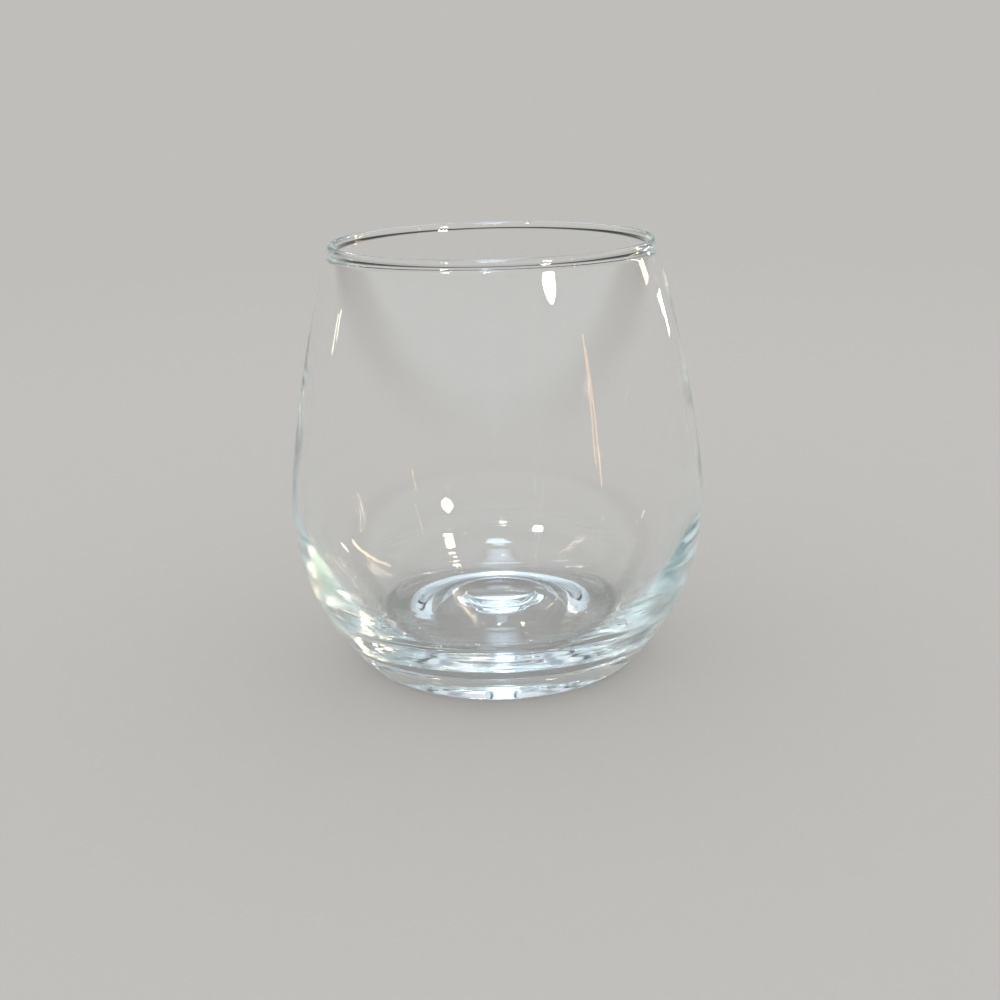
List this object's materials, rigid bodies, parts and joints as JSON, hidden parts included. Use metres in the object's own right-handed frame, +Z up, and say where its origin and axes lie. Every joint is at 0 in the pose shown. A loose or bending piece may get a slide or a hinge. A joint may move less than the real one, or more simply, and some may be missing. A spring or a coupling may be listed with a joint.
{
  "type": "stemless wine glass",
  "caption": "Stemless wine glass: a wide rounded belly, a thin wall narrowing to a fire-polished beaded rim, and a thick base, hollowed underneath and domed inside, standing on a bearing ring.",
  "frame": {"origin": "middle of the bearing ring, on the table that the glass stands on", "axes": "+Z up along the axis of the glass, out of its mouth; X and Y are level and alike"},
  "size_m": [0.095, 0.095, 0.0973],
  "materials": {
    "clear_glass": "polished, fire-finished soda-lime glass"
  },
  "bodies": {
    "root": {"rim_bead": "clear_glass", "upper_bowl": "clear_glass", "lower_bowl": "clear_glass", "base": "clear_glass"}
  },
  "joints": []
}
